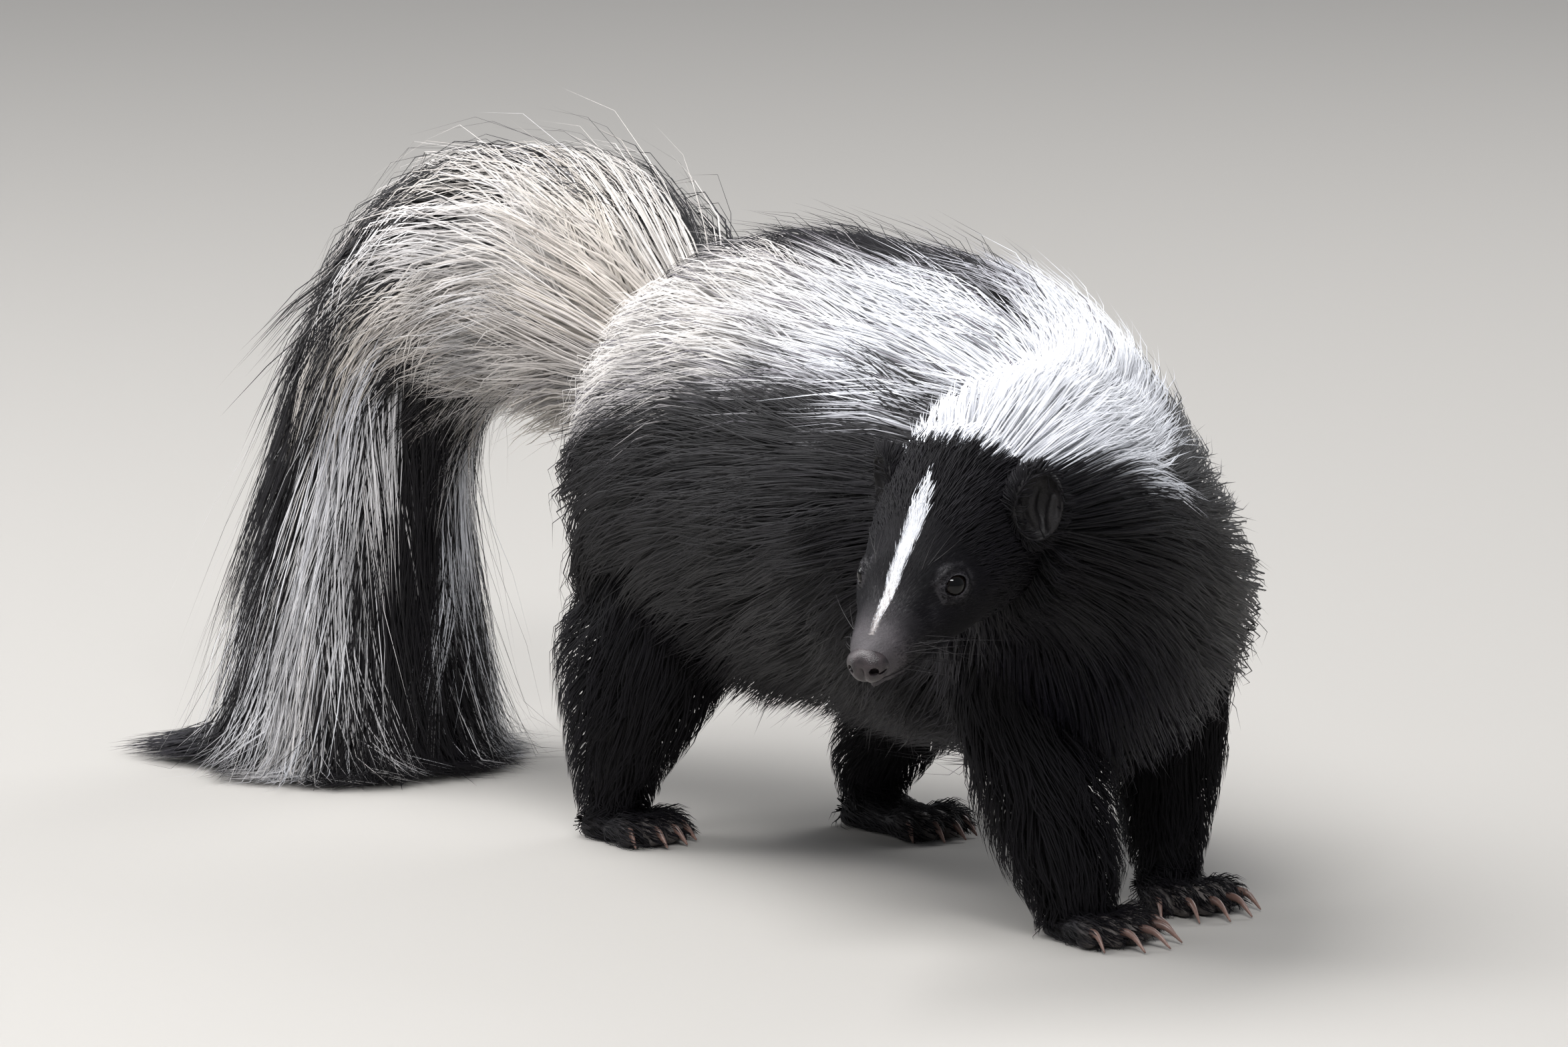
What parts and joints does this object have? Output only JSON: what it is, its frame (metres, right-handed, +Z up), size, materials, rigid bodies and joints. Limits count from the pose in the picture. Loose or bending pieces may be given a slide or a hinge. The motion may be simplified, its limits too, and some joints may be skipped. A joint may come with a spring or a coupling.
{
  "type": "striped skunk",
  "caption": "Striped skunk, life-size still model, walking with its head turned back over the right shoulder and its long plumed tail arched and hanging to the ground",
  "frame": {"origin": "on the ground, under the middle of the whole animal's bounding box", "axes": "+X forward along the trunk, +Y the animal's left, +Z up"},
  "size_m": [0.4662, 0.1964, 0.2051],
  "materials": {
    "black_fur": "long soft black guard hair with a cool sheen",
    "white_fur": "long soft white hair, creamy at the roots",
    "tail_fur": "coarse long hair, white with black tips",
    "eye": "wet dark brown, nearly black",
    "nose": "damp pebbled bare skin",
    "foot": "bare toes and claws under short black hair"
  },
  "bodies": {
    "root": {"blaze": "white_fur", "ear_left": "black_fur", "ear_right": "black_fur", "eye_left": "eye", "eye_right": "eye", "foot_fore_left": "foot", "foot_fore_right": "foot", "foot_hind_left": "foot", "foot_hind_right": "foot", "head": "black_fur", "leg_fore_left": "black_fur", "leg_fore_right": "black_fur", "leg_hind_left": "black_fur", "leg_hind_right": "black_fur", "nape_white": "white_fur", "neck": "black_fur", "nose": "nose", "stripe_left": "white_fur", "stripe_right": "white_fur", "tail_arch": "tail_fur", "tail_fall": "tail_fur", "trunk": "black_fur"}
  },
  "joints": []
}
